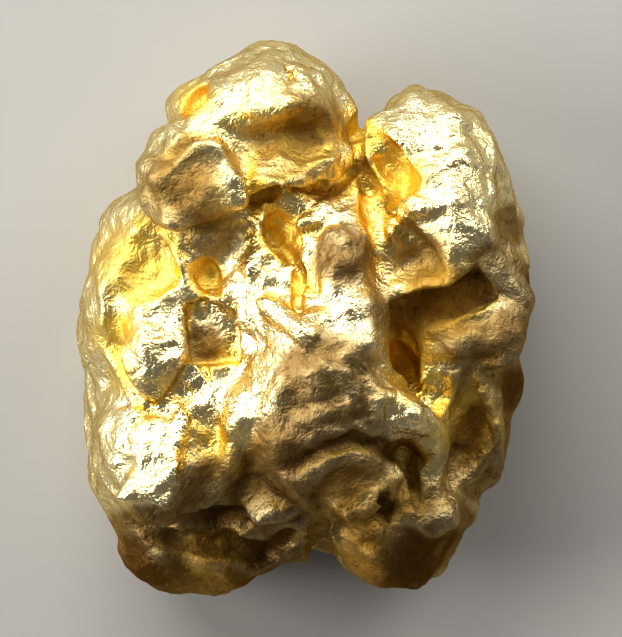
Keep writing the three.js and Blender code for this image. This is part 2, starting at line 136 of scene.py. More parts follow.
# Forms that sit on the upper face: their Z is counted from the gold's height at their X and Y.
RIDGES = (
    # shelf under the crown
    run(0.2, (-1.4, 3.45, -0.1, 0.38), (-0.5, 3.8, -0.1, 0.42), (0.5, 3.95, -0.1, 0.42),
        (1.15, 4.2, -0.1, 0.35)),
    # upper ridge and left ridge
    run(0.12, (1.1, 3.35, -0.1, 0.26), (0.4, 2.8, 0.0, 0.32), (-0.2, 2.35, -0.1, 0.24)),
    run(0.12, (-1.05, 2.8, -0.05, 0.22), (-0.95, 2.1, 0.0, 0.27), (-1.15, 1.2, -0.1, 0.25)),
    # column
    run(0.3, (1.1, 2.9, -0.2, 0.5), (0.8, 1.8, 0.0, 0.62), (0.85, 0.6, 0.0, 0.62), (1.5, -0.6, -0.1, 0.5)),
    run(0.3, (2.9, 2.85, -0.1, 0.35), (2.35, 2.4, 0.0, 0.42), (1.85, 1.9, -0.1, 0.3)),  # horn ridge
    egg((-3.7, -0.8, -0.3), (0.75, 1.15, 0.6), (-10, 0, 12), 0.15),  # plateau
    # lower lobe of the socket
    run(0.25, (2.75, -0.65, -0.1, 0.35), (3.6, -0.65, 0.0, 0.5), (4.6, -0.55, 0.0, 0.62),
        (5.1, 0.5, -0.1, 0.5)),
    # long band
    run(0.3, (-1.35, -1.7, -0.1, 0.3), (-1.6, -2.85, 0.0, 0.34), (-2.05, -3.75, 0.0, 0.34),
        (-2.6, -4.8, -0.1, 0.3)),
    # ledge and arm
    run(0.25, (1.6, -1.6, -0.15, 0.35), (2.3, -2.15, 0.0, 0.48), (3.0, -2.65, 0.0, 0.5),
        (3.35, -3.3, 0.0, 0.46), (3.5, -4.1, 0.0, 0.42), (3.55, -4.9, -0.1, 0.35)),
    egg((-3.6, -4.3, -0.5), (0.8, 1.0, 0.75), (0, 0, -11), 0.3),  # gold behind the hip facet
    egg((1.45, -4.15, -0.05), (0.95, 0.85, 0.5), (0, 0, 0), 0.15),  # lump on the right foot
    egg((-1.4, -4.1, -0.16), (0.7, 0.5, 0.35), (0, 0, 15), 0.2),  # lump over the left foot
    egg((0.35, -1.8, -0.12), (0.42, 0.62, 0.3), (0, 0, 10), 0.12),  # small lump on the centre
    # inner fold and outer fold
    run(0.1, (0.1, -0.95, -0.05, 0.12), (0.8, -1.2, 0.0, 0.16), (1.1, -1.9, 0.0, 0.17),
        (0.95, -2.7, -0.05, 0.14)),
    run(0.1, (0.9, -0.75, -0.05, 0.12), (1.45, -1.3, 0.0, 0.17), (1.65, -2.1, 0.0, 0.18),
        (1.5, -2.9, -0.05, 0.14)),
    egg((-0.95, -4.85, -0.1), (0.55, 0.45, 0.35), (0, 0, -10), 0.15),  # lump on the left foot
)

HOLLOWS = (
    egg((-0.6, 4.55, 0.35), (1.7, 0.85, 0.95), (5, 0, 8), 0.4),  # hollow under the crown
    egg((0.2, 4.65, -0.05), (0.78, 0.5, 0.5), (6, 0, 0), 0.35),  # its deepest corner
    # crown crevice
    run(0.12, (-1.35, 3.0, -0.1, 0.2), (-0.6, 3.3, -0.3, 0.26), (0.35, 3.5, -0.4, 0.28),
        (1.15, 3.8, -0.35, 0.24), (1.5, 4.6, -0.5, 0.22), (1.5, 5.4, -1.0, 0.25)),
    egg((-4.15, 1.35, 0.2), (0.98, 1.15, 0.8), (-14, 0, -25), 0.2),  # basin
    # basin channel
    run(0.2, (-4.6, 0.6, 0.1, 0.42), (-4.72, -0.5, 0.0, 0.38), (-4.5, -1.4, 0.1, 0.3),
        (-4.0, -2.1, 0.1, 0.2)),
    run(0.08, (-4.35, 0.3, 0.0, 0.1), (-4.4, -0.4, 0.0, 0.12), (-4.1, -1.25, 0.0, 0.1)),  # plateau's edge
    egg((-2.45, 1.05, 0.2), (0.42, 0.6, 0.55), (0, 0, 15), 0.14),  # round pit
    block((-2.4, -0.4, 0.26), (0.62, 0.85, 0.5), (10, -20, 8), 0.12, 0.15),  # square recess
    # edge of the recess
    run(0.06, (-3.0, 0.25, 0.0, 0.07), (-2.98, -0.55, -0.02, 0.1), (-2.6, -1.15, 0.0, 0.1),
        (-2.3, -1.5, 0.0, 0.07)),
    egg((-0.6, 2.1, 0.2), (0.4, 0.75, 0.65), (0, 0, 20), 0.15),  # wedge pit
    # slit
    run(0.06, (-0.32, 1.7, -0.2, 0.14), (-0.17, 1.2, -0.25, 0.15), (-0.1, 0.7, -0.25, 0.15),
        (-0.05, 0.1, -0.2, 0.12)),
    run(0.2, (1.5, 3.3, 0.0, 0.25), (1.65, 2.5, 0.05, 0.3), (1.75, 1.5, 0.0, 0.25)),  # valley
    # half-moon pocket
    run(0.12, (1.8, 4.5, -0.3, 0.22), (2.15, 3.95, -0.1, 0.42), (2.42, 3.5, -0.1, 0.52),
        (2.25, 2.95, -0.1, 0.38), (2.1, 2.7, 0.0, 0.15)),
    egg((2.6, 1.5, 0.6), (0.85, 0.55, 0.75), (0, 0, 20), 0.4),  # hollow over the socket
    block((3.42, 0.36, 0.0), (1.35, 0.52, 1.15), (4, 2, 25), 0.08, 0.2),  # socket
    egg((2.5, -0.6, -0.1), (0.45, 0.7, 0.9), (0, 0, 5), 0.2),  # socket tail
    egg((2.5, -1.3, -0.1), (0.55, 0.95, 1.0), (0, 0, 22), 0.15),  # right crevice
    egg((3.5, -1.9, 0.05), (0.6, 0.55, 0.7), (0, 0, 0), 0.2),  # hollow over the scoop
    egg((4.1, -2.95, 0.0), (0.7, 1.6, 1.1), (0, 0, -6), 0.2),  # flank scoop
    egg((-2.65, -3.6, 0.4), (0.55, 1.3, 0.55), (0, 10, -18), 0.2),  # trough beside the hip facet
    # arc over the right foot
    run(0.15, (-0.8, -3.5, 0.0, 0.1), (0.0, -3.7, -0.05, 0.2), (0.55, -3.4, -0.08, 0.22),
        (1.1, -3.1, -0.1, 0.24), (1.8, -3.05, -0.12, 0.26), (2.5, -3.45, -0.1, 0.26),
        (2.8, -4.2, -0.05, 0.22), (2.95, -4.95, 0.0, 0.14)),
    # hole in the right foot
    run(0.08, (2.0, -4.4, 0.05, 0.15), (2.05, -4.75, -0.05, 0.24), (2.1, -5.05, 0.05, 0.15)),
    # crease between the feet
    run(0.15, (0.3, -4.4, -0.05, 0.12), (0.3, -5.2, -0.2, 0.2), (0.33, -6.0, -0.5, 0.32)),
    # band over the left foot
    run(0.15, (-4.0, -5.3, 0.0, 0.16), (-3.3, -5.75, -0.1, 0.28), (-2.35, -5.85, -0.1, 0.34),
        (-1.1, -5.8, -0.1, 0.32), (-0.3, -5.5, -0.1, 0.22)),
    egg((-2.1, -5.2, 0.2), (0.95, 0.55, 0.55), (0, 0, 0), 0.2),  # hollow above the band
    egg((-2.75, 5.55, 0.05), (0.34, 0.5, 0.4), (0, 0, -35), 0.12),  # crown pocket
    run(0.08, (-0.45, 6.5, 0.02, 0.07), (-0.35, 5.8, 0.02, 0.07)),  # crown crease
)

# Sharp edges that stand up beside the hollows.
EDGES = (
    block((-3.67, -3.6, -0.42), (0.62, 1.05, 0.45), (-12, -20, -11), 0.1, 0.12),  # hip facet
    block((-3.3, -2.45, -0.3), (0.5, 0.42, 0.35), (-18, -16, 20), 0.08, 0.1),  # small facet above it
    block((2.2, -2.1, -0.38), (0.75, 0.32, 0.35), (-20, 14, -33), 0.1, 0.12),  # ledge
    run(0.08, (3.5, -3.9, -0.06, 0.12), (3.85, -4.4, 0.0, 0.17), (4.05, -4.75, -0.12, 0.1)),  # by the scoop
    run(0.08, (4.45, -1.7, -0.06, 0.12), (4.7, -2.7, 0.0, 0.14), (4.6, -3.7, -0.06, 0.12)),  # flank fold
    run(0.06, (1.1, -4.8, -0.02, 0.08), (1.4, -5.15, 0.0, 0.11), (1.75, -5.35, -0.02, 0.08)),  # foot line
    run(0.06, (-1.6, -0.95, -0.04, 0.1), (-1.3, -1.25, 0.0, 0.14), (-0.95, -1.35, -0.04, 0.1)),  # small fold
    run(0.15, (-0.8, 0.3, -0.1, 0.26), (-0.1, -0.35, -0.02, 0.34), (0.65, 0.25, -0.1, 0.28)),  # vee
)

# The fist is set on after the rest, so that the hollows around it stay behind it.
FIST_GROOVE = (
    run(0.1, (-4.0, 2.75, 5.3, 0.12), (-3.1, 2.55, 5.5, 0.2), (-2.0, 2.95, 5.6, 0.24),
        (-1.45, 3.5, 5.7, 0.2)),
)

FIST = (
    block((-2.7, 3.48, 5.65), (1.12, 0.9, 1.05), (6, -2, 21), 0.15, 0.36),
    egg((-3.55, 3.1, 5.1), (0.52, 0.7, 1.2), (0, 0, 8), 0.3),  # its left side
    egg((-3.3, 4.45, 4.9), (0.5, 0.65, 1.1), (0, 0, -15), 0.3),  # its root on the crown
)

# The notch between the feet, cut last.
NOTCH = (
    run(0.3, (0.33, -5.8, 4.4, 0.2), (0.35, -6.15, 3.2, 0.45), (0.35, -6.5, 1.8, 0.6), (0.3, -6.5, 0.4, 0.7)),
)


# ---- The field on a grid ----------------------------------------------------------------------
def bend(points):
    """Points moved a little by the slow bends."""
    x, y, z = (points[..., axis].copy() for axis in range(3))
    for size, amount, phase in BENDS:
        turn = 2 * math.pi / size
        u, v, w = x * turn, y * turn, z * turn
        x += amount * np.sin(1.03 * v + 0.6 * u + phase + 1.3 * np.sin(1.4 * w + phase))
        y += amount * np.sin(1.1 * w + 0.5 * v + 2 * phase + 1.3 * np.sin(1.3 * u + phase))
        z += amount * np.sin(0.94 * u + 0.4 * w + 3 * phase + 1.3 * np.sin(1.5 * v + phase))
    return np.stack((x, y, z), -1)


def axes_of(form):
    """The form's three axes, as the columns of a matrix."""
    return np.array(Euler([math.radians(turn) for turn in form["turn"]]).to_matrix())


def length(vectors):
    """Lengths of many vectors at once."""
    return np.sqrt((vectors * vectors).sum(-1))


def local(points, form):
    """Points seen from a form's own centre and along its own axes."""
    return (points - np.array(form["centre"], float)) @ axes_of(form)


def egg_distance(points, form):
    """Nearly the distance to an ellipsoid, exact on its surface."""
    size = np.array(form["size"], float)
    p = local(points, form)
    over = length(p / size) + TINY
    return over * (over - 1) / (length(p / size**2) + TINY)


def block_distance(points, form):
    """The distance to a box with rounded edges."""
    q = np.abs(local(points, form)) - (np.array(form["size"], float) - form["rounding"])
    return length(np.maximum(q, 0)) + np.minimum(q.max(-1), 0) - form["rounding"]


def run_distance(points, form):
    """The distance to a run of round links, each pair of them joined by a tapered bar."""
    nearest = None
    for start, end in zip(form["links"], form["links"][1:]):
        a, b = np.array(start[:3], float), np.array(end[:3], float)
        share = np.clip(((points - a) @ (b - a)) / ((b - a) @ (b - a)), 0, 1)
        gap = length(points - a - share[..., None] * (b - a)) - (start[3] + (end[3] - start[3]) * share)
        nearest = gap if nearest is None else np.minimum(nearest, gap)
    return nearest


DISTANCES = {"egg": egg_distance, "block": block_distance, "run": run_distance}


def softly(a, b, width):
    """The smaller of two distances, with a soft join of that width."""
    share = np.clip(0.5 + 0.5 * (b - a) / width, 0, 1)
    return b * (1 - share) + a * share - width * share * (1 - share)


class Field:
    """Distances to the nugget's skin at the corners of a grid of cells; negative is inside the gold."""

    def __init__(self, cell):
        self.cell = cell
        self.count = np.ceil((FIELD_HIGH - FIELD_LOW) / cell).astype(int) + 1
        axes = [FIELD_LOW[a] + cell * np.arange(self.count[a]) for a in range(3)]
        self.points = bend(np.stack(np.meshgrid(*axes, indexing="ij"), -1))
        self.value = np.full(self.count, OPEN_AIR)

    def part(self, form):
        """The part of the grid that a form can change."""
        if form["kind"] == "run":
            links = np.array(form["links"], float)
            low = (links[:, :3] - links[:, 3:]).min(0)
            high = (links[:, :3] + links[:, 3:]).max(0)
        else:
            reach = np.abs(axes_of(form)) @ np.array(form["size"], float)
            low, high = np.array(form["centre"]) - reach, np.array(form["centre"]) + reach
        margin = form["blend"] + FADE
        first = np.floor((low - margin - FIELD_LOW) / self.cell).astype(int)
        last = np.ceil((high + margin - FIELD_LOW) / self.cell).astype(int) + 1
        return tuple(slice(max(0, a), max(0, b)) for a, b in zip(first, last))

    def top(self, x, y):
        """Height of the upper face at a place."""
        gx, gy = (x - FIELD_LOW[0]) / self.cell, (y - FIELD_LOW[1]) / self.cell
        i, j = int(gx), int(gy)
        u, v = gx - i, gy - j
        near = self.value[i, j] * (1 - v) + self.value[i, j + 1] * v
        far = self.value[i + 1, j] * (1 - v) + self.value[i + 1, j + 1] * v
        column = near * (1 - u) + far * u
        inside = np.nonzero(column < 0)[0]
        if len(inside) == 0:
            return NO_GOLD_TOP
        k = inside[-1]
        return FIELD_LOW[2] + self.cell * (k + column[k] / (column[k] - column[k + 1]))

    def seated(self, form):
        """A form set on the upper face as it is so far."""
        form = dict(form)
        if form["kind"] == "run":
            form["links"] = [(x, y, z + self.top(x, y), r) for x, y, z, r in form["links"]]
        else:
            x, y, z = form["centre"]
            form["centre"] = (x, y, z + self.top(x, y))
        return form

    def put(self, forms, hollow=False, on_surface=False):
        """Join forms to the gold, or cut them out of it as hollows."""
        for form in forms:
            if on_surface:
                form = self.seated(form)
            where = self.part(form)
            distance = DISTANCES[form["kind"]](self.points[where], form)
            value = self.value[where]
            if hollow:
                self.value[where] = -softly(-value, distance, form["blend"])
            else:
                self.value[where] = softly(value, distance, form["blend"])

    def wear_flat(self, level):
        """Take away all gold below a level."""
        heights = FIELD_LOW[2] + self.cell * np.arange(self.count[2])
        self.value = np.maximum(self.value, (level - heights)[None, None, :])

    def at(self, points):
        """The field's value at any points, read between the grid's corners."""
        g = np.clip((points - FIELD_LOW) / self.cell, 0, self.count - 1.001)
        i = g.astype(int)
        f = g - i
        total = 0
        for corner in product((0, 1), repeat=3):
            weight = np.prod([f[:, a] if corner[a] else 1 - f[:, a] for a in range(3)], axis=0)
            total = total + weight * self.value[i[:, 0] + corner[0], i[:, 1] + corner[1], i[:, 2] + corner[2]]
        return total

    def slope(self, points):
        """Outward directions at points near the skin."""
        reach = SLOPE_REACH * self.cell
        out = np.empty_like(points)
        for axis in range(3):
            step = np.zeros(3)
            step[axis] = reach
            out[:, axis] = self.at(points + step) - self.at(points - step)
        return out / (length(out)[:, None] + TINIER)


def skin_of(field):
    """Corners and four-sided faces of the skin: one corner in every cell that the skin crosses."""
    inside = field.value < 0
    nx, ny, nz = field.count
    corners = list(product((0, 1), repeat=3))
    held = sum(inside[a:nx - 1 + a, b:ny - 1 + b, c:nz - 1 + c].astype(np.int8) for a, b, c in corners)
    crossed = (held > 0) & (held < 8)
    cells = np.argwhere(crossed)
    number = np.full(crossed.shape, -1)
    number[crossed] = np.arange(len(cells))

    value = {c: field.value[tuple((cells + c).T)] for c in corners}
    total, hits = np.zeros((len(cells), 3)), np.zeros(len(cells))
    for start in corners:
        for axis in range(3):
            if start[axis]:
                continue
            end = tuple(1 if a == axis else start[a] for a in range(3))
            cut = (value[start] < 0) != (value[end] < 0)
            point = np.zeros((len(cells), 3)) + start
            point[:, axis] += np.where(cut, value[start] / (value[start] - value[end] + TINIER), 0)
            total[cut] += point[cut]
            hits[cut] += 1
    points = (cells + total / hits[:, None]) * field.cell + FIELD_LOW

    faces = []
    for axis in range(3):
        side, up = (axis + 1) % 3, (axis + 2) % 3
        lower, upper = [slice(1, -1)] * 3, [slice(1, -1)] * 3
        lower[axis], upper[axis] = slice(0, -1), slice(1, None)
        first, second = inside[tuple(lower)], inside[tuple(upper)]
        edges = np.argwhere(first != second)
        edges[:, side] += 1
        edges[:, up] += 1

        def cell_at(a, b):
            near = edges.copy()
            near[:, side] -= a
            near[:, up] -= b
            return number[tuple(near.T)]

        quads = np.stack((cell_at(1, 1), cell_at(0, 1), cell_at(0, 0), cell_at(1, 0)), 1)
        outwards = first[first != second]
        quads[~outwards] = quads[~outwards][:, ::-1]
        faces.append(quads)
    return points, np.concatenate(faces)


def outer_skin(points, faces):
    """The skin alone, without closed bubbles left inside the gold by thin ends of pits."""
    shell = np.arange(len(points))
    while True:
        lowest = shell[faces].min(1)
        joined = shell.copy()
        for corner in range(4):
            np.minimum.at(joined, faces[:, corner], lowest)
        joined = joined[joined]
        if (joined == shell).all():
            break
        shell = joined
    largest = np.bincount(shell).argmax()
    kept = shell == largest
    number = np.cumsum(kept) - 1
    return points[kept], number[faces[kept[faces[:, 0]]]]


# ---- Natural roughness, painted shade and painted reflection ----------------------------------
# Soft round places, each with the X and Y of its centre, its radius and its strength.
# Pits and hollows where the amber film paints a warm reflection of gold on gold; these places are also
# rougher.
WARM_REFLECTION = (
    (-4.2, 1.4, 1.15, 1.0), (-4.7, -0.4, 0.7, 0.9), (-4.5, -1.4, 0.5, 0.7),  # basin and its channel
    (-2.45, 1.05, 0.55, 1.0), (-2.2, -0.9, 0.5, 0.8),  # round pit and square recess
    (-0.6, 2.1, 0.6, 1.0), (-0.1, 0.9, 0.35, 0.8),  # wedge pit and slit
    (2.35, 3.55, 0.8, 1.0), (1.0, 3.6, 0.6, 0.9), (1.5, 4.7, 0.5, 0.9),  # half-moon pocket and crevice
    (-2.75, 5.55, 0.55, 1.0), (-0.5, 4.5, 1.5, 0.6),  # crown pocket and hollow
    (-2.9, 3.5, 1.0, 0.5), (-2.2, 2.7, 0.6, 0.6), (-1.0, 3.1, 0.5, 1.0),  # fist, neck and groove
    (3.4, 0.5, 1.1, 1.0), (2.6, -0.4, 0.8, 1.0), (3.2, 1.3, 0.6, 0.5),  # socket
    (2.5, -1.4, 0.8, 0.7), (3.9, -2.6, 1.0, 0.9),  # right crevice and flank scoop
    (-1.9, -3.4, 1.0, 0.6), (1.5, -4.5, 1.2, 0.5),  # trough and right foot
    (-2.4, -6.3, 1.0, 0.6), (1.2, -6.1, 0.9, 0.6),  # ends of the feet
)
# Places where the brown film paints shade, darkest over the lower half, the feet and the right side; a
# strength over 1 paints the deeper shade of the thick film.
SHADED_BROWN = (
    (-3.1, 3.45, 1.5, 0.7), (-2.3, 2.2, 0.9, 0.7),  # fist and neck
    (0.2, 5.0, 0.9, 0.8), (-0.4, 4.2, 1.5, 0.55), (0.9, 1.6, 1.0, 0.75),  # crown hollow and column
    (3.4, 0.45, 1.2, 1.0), (2.9, 1.6, 1.2, 0.6), (4.7, 1.2, 1.0, 0.8), (2.1, 0.2, 0.8, 0.7),  # socket
    (2.5, -1.3, 0.6, 0.5), (4.2, -0.8, 1.4, 0.6), (4.9, -0.6, 1.3, 0.8),  # crevice and lower lobe
    (5.2, 2.4, 0.7, 0.8), (5.6, 0.7, 0.8, 1.4), (5.3, -1.8, 1.0, 1.5), (4.8, -3.4, 1.5, 1.3),  # right side
    (-2.5, -0.6, 0.65, 0.7), (0.6, -1.6, 1.6, 0.9), (0.4, -3.5, 1.9, 1.35),  # recess and centre
    (2.6, -5.7, 1.9, 1.6), (1.4, -4.6, 1.2, 1.35),  # right foot
    (-1.4, -5.4, 2.2, 1.6), (-3.9, -6.3, 1.7, 1.5),  # left foot
)
WORN_SMOOTH = (
    (-4.1, 1.3, 1.0, 1.0), (-4.7, -0.4, 0.6, 0.8), (-2.5, -0.1, 0.5, 1.0),  # basin and square recess
    (-1.75, -1.3, 0.6, 0.8), (-2.7, -3.8, 0.8, 0.9), (1.6, -0.7, 0.5, 0.7),  # centre and trough
    (-2.9, 3.6, 1.1, 0.9), (2.3, 3.6, 0.8, 0.8),  # fist and half-moon pocket
    (3.4, 0.5, 1.1, 0.6), (2.5, -1.3, 0.8, 0.8),  # socket and right crevice
)
HACKLY = (
    (-3.7, -0.5, 0.8, 1.0), (-4.7, -2.3, 1.3, 1.0), (-3.6, -2.6, 0.9, 1.0),  # plateau and left hip
    (-0.6, 1.6, 1.3, 0.9), (0.2, 3.0, 1.2, 0.9), (2.0, -2.2, 0.9, 0.8),  # middle and ledge
    (-0.3, 6.2, 1.5, 0.7), (4.4, 3.6, 1.3, 0.6),  # crown and horn
    (-1.0, -5.2, 1.8, 0.7), (2.3, -5.4, 1.8, 0.8),  # feet
)
STRIATED = (
    (4.2, -3.0, 1.4, 1.0), (0.9, 1.6, 1.0, 0.8), (3.7, 3.2, 0.9, 0.5), (-3.6, 1.8, 0.6, 0.6),
)


PLACE_FALL = 1.2  # how steeply a place fades around its radius
SIDES_TOP, UPPER_BLEND = 2.2, 1.5  # height at which the sides end, and over which the upper face begins
WANDER_SIZE, WANDER_AMOUNT = 1.3, 1.8  # size of an edge's wanderings, and how far they go, mm
LEAST_STRIATED = 0.02  # less than this adds no lines

# Sizes of the noises that raise the skin, mm.
PATCH_SIZE, LUMP_SIZE, FOLD_SIZE, DOME_SIZE, GRIT_SIZE = 1.7, 0.62, 0.45, 0.4, 0.12
SWIRL_SIZE, SWIRL_AMOUNT = 0.9, 0.3  # of the slow swirl that bends the others
LINE_SIZE = (0.16, 1.5, 0.4)  # of the striated gold: across the lines, along them and down them
LINE_SLANT = 1.1  # length over which the lines lean by one line's width
PATCH_PLACE, FOLD_PLACE = Vector((9.1, 4.2, 1.7)), Vector((3.1, 0, 0))  # keep the noises apart


def share_of(points, places):
    """How much of a kind of place each point is in, from 0 to 1."""
    out = np.zeros(len(points))
    for x, y, radius, strength in places:
        away = ((points[:, 0] - x) ** 2 + (points[:, 1] - y) ** 2) / radius**2
        out = np.maximum(out, strength * np.exp(-PLACE_FALL * away**2))
    return out


def upper_share(points):
    """0 on the lower sides and the underside, 1 on the upper face."""
    return np.clip((points[:, 2] - SIDES_TOP) / UPPER_BLEND, 0, 1)


def wandering(points, share):
    """Points moved by a share of a slow noise, so that the edge of a place wanders."""
    moves = np.array([noise.noise_vector(Vector(point) / WANDER_SIZE) for point in points.tolist()])
    return points + moves * (WANDER_AMOUNT * share)[:, None]


def relief(points, outwards, settings):
    """How far each corner of the skin is raised, in mm: shares of lumps, folds, domes, lines and grit."""
    upper = upper_share(points)
    upright = 1 - np.abs(outwards[:, 2])
    smooth = np.clip(share_of(points, WORN_SMOOTH) * upper + 0.8 * upright**1.5, 0, 1)
    hackly = share_of(points, HACKLY) * upper + 0.25 * (1 - upper)
    striated = share_of(points, STRIATED) * upper
    out = np.empty(len(points))
    crumple, grain = settings.crumple, settings.grain
    across, along, down = LINE_SIZE
    for n, point in enumerate(points.tolist()):
        p = Vector(point)
        q = p + noise.noise_vector(p / SWIRL_SIZE) * SWIRL_AMOUNT
        rough = min(1.0, 0.45 + 0.5 * noise.noise(p / PATCH_SIZE + PATCH_PLACE) + hackly[n])
        rough *= 1 - 0.8 * smooth[n]
        lumps = noise.noise(q / LUMP_SIZE) * (1 - 0.6 * smooth[n])
        folds = 0.25 - abs(noise.noise(q / FOLD_SIZE + FOLD_PLACE)) * 1.6
        near = noise.voronoi(q / DOME_SIZE)[0][0]
        domes = hackly[n] * (0.5 - min(near * near * 1.6, 1))
        grit = noise.noise(q / GRIT_SIZE)
        height = crumple * (0.8 * lumps + rough * (0.7 * folds + 0.6 * domes)) + grain * grit * (0.4 + rough)
        if striated[n] > LEAST_STRIATED:
            lines = noise.noise(Vector((q.x / across + q.y / LINE_SLANT, q.y / along, q.z / down)))
            height += striated[n] * 0.6 * crumple * lines
        out[n] = height
    return out


# ---- Shader expressions -----------------------------------------------------------------------
class Value:
    """A number coming out of a node's socket; sums and products of it add Math nodes."""

    def __init__(self, material, socket):
        self.material, self.socket = material, socket

    def math(self, operation, *values, clamp=False):
        settings = {"operation": operation, "use_clamp": clamp}
        return self.material.value("ShaderNodeMath", settings, dict(enumerate(values)))

    def __add__(self, other):
        return self.math("ADD", self, other)

    def __sub__(self, other):
        return self.math("SUBTRACT", self, other)

    def __rsub__(self, other):
        return self.math("SUBTRACT", other, self)

    def __mul__(self, other):
        return self.math("MULTIPLY", self, other)

    __radd__ = __add__
    __rmul__ = __mul__

    def clamped(self):
        return self.math("MULTIPLY", self, 1, clamp=True)

    def ramp(self, low, high):
        """0 at low, 1 at high, smooth between them."""
        settings = {"interpolation_type": "SMOOTHSTEP"}
        sockets = {"Value": self, "From Min": low, "From Max": high, "To Min": 0, "To Max": 1}
        return self.material.value("ShaderNodeMapRange", settings, sockets, "Result")


class Material:
    """A node material built from expressions."""

    def __init__(self, name):
        self.data = bpy.data.materials.new(name)
        self.data.use_nodes = True
        self.tree = self.data.node_tree
        self.tree.nodes.clear()

    def node(self, kind, settings=None, sockets=None):
        made = self.tree.nodes.new(kind)
        for key, value in (settings or {}).items():
            setattr(made, key, value)
        for key, value in (sockets or {}).items():
            socket = made.inputs[key]
            if isinstance(value, Value):
                value = value.socket
            if isinstance(value, bpy.types.NodeSocket):
                self.tree.links.new(value, socket)
            else:
                socket.default_value = value
        return made

    def value(self, kind, settings=None, sockets=None, output=0):
        return Value(self, self.node(kind, settings, sockets).outputs[output])

    def mix(self, share, first, second):
        """A colour between two colours."""
        settings = {"data_type": "RGBA", "blend_type": "MIX", "clamp_factor": True}
        made = self.node("ShaderNodeMix", settings, {0: share, 6: first, 7: second})
        return made.outputs[2]

    def attribute(self, name):
        return self.value("ShaderNodeAttribute", {"attribute_name": name}, None, "Fac")

    def noise(self, place, scale, detail=2.0, roughness=0.5, distortion=0.0):
        shape = {"Scale": scale, "Detail": detail, "Roughness": roughness, "Distortion": distortion}
        return self.value("ShaderNodeTexNoise", {"noise_dimensions": "3D"}, {"Vector": place, **shape})

    def bump(self, height, distance, strength, normal=None):
        sockets = {"Height": height, "Distance": distance, "Strength": strength}
        if normal is not None:
            sockets["Normal"] = normal
        return self.node("ShaderNodeBump", None, sockets).outputs["Normal"]

    def finish(self, sockets):
        shader = self.node("ShaderNodeBsdfPrincipled", None, sockets)
        self.node("ShaderNodeOutputMaterial", None, {"Surface": shader.outputs[0]})
        return self.data


# Scales of the finish's noises, per metre, and depths of its bumps, in metres.
PATCHES, TONES, SCRATCHES, SPECKS, FINE_GRAIN = 700, 1500, 3000, 5200, 12000
SCRATCH_DEPTH, GRAIN_DEPTH = 0.00013, 0.00003
FLOOR_ROUGHNESS = 0.8


def colour(rgb):
    """A colour as a shader's socket takes it."""
    return (*rgb, 1.0)


def native_gold(settings):
    """Pale native gold: polished on its crests, browned by a film that paints shade, with a painted amber
    reflection in its hollows.
    """
    gold = Material("native_gold")
    place = gold.node("ShaderNodeTexCoord").outputs["Object"]
    hollow = gold.attribute("hollow")
    crest = gold.attribute("crest")
    browned = gold.attribute("browned")
    warmed = gold.attribute("warmed")

    patches = gold.noise(place, PATCHES, 4, 0.6, 0.5)
    specks = gold.noise(place, SPECKS, 4, 0.7).ramp(0.52, 0.66)
    # Share of the brown film, which paints shade here, with random patches in it and thinner on the crests.
    shaded_film = ((browned * 1.4 + patches * 0.7 - 0.68).ramp(0, 0.7) * (1 - 0.3 * crest)).clamped()
    stain = (hollow.ramp(0.4, 0.95) * (0.85 - 0.6 * warmed)).clamped()
    tone = gold.noise(place, TONES, 3, 0.6, 0.3).ramp(0.35, 0.7)

    body = gold.mix(tone * 0.5, colour(settings.gold), colour(settings.old_gold))
    # Painted reflection: gold turned deeper orange in the hollows and the amber places, as gold that reflects
    # gold.
    reflection_share = (hollow.ramp(0.15, 0.5) * 0.6 + warmed * 0.9).clamped()
    body = gold.mix(reflection_share, body, colour(settings.reflected_gold))
    # Painted shade: the thick film darkens the places whose strength is over 1.
    layer = gold.mix((browned - 1).ramp(0, 0.5), colour(settings.shaded_film), colour(settings.thick_shaded_film))
    # Painted reflection: amber in the pits and hollows.
    layer = gold.mix(warmed, layer, colour(settings.amber_reflection))
    body = gold.mix(shaded_film, body, layer)
    body = gold.mix(stain, body, colour(settings.stain))
    body = gold.mix(specks * (stain * 0.5 + shaded_film * 0.65).clamped(), body, colour(settings.dirt))

    roughness = settings.polish + 0.1 * tone + 0.3 * shaded_film + 0.1 * stain + 0.24 * warmed - 0.05 * crest
    scratches = gold.noise(place, SCRATCHES, 3, 0.6, 0.5)
    grain = gold.noise(place, FINE_GRAIN, 2, 0.6)
    normal = gold.bump(scratches, SCRATCH_DEPTH, 0.7)
    normal = gold.bump(grain, GRAIN_DEPTH, 0.8, normal)
    sockets = {"Base Color": body, "Metallic": 1.0, "Roughness": roughness.clamped(), "Normal": normal}
    return gold.finish({**sockets, "Specular Tint": colour(settings.edge)})


def plain_material(name, rgb, roughness):
    """A material of one colour, for the floor."""
    plain = Material(name)
    return plain.finish({"Base Color": colour(rgb), "Roughness": roughness})


# ---- Settings ---------------------------------------------------------------------------------
def length_setting(name, description, value):
    """A length in metres, taken from the frame."""
    return FloatProperty(name=name, description=description, default=value, unit="LENGTH")


def colour_setting(name, description, value):
    """A colour that can be changed."""
    return FloatVectorProperty(
        name=name, description=description, default=value, size=3, subtype="COLOR", min=0, max=1
    )


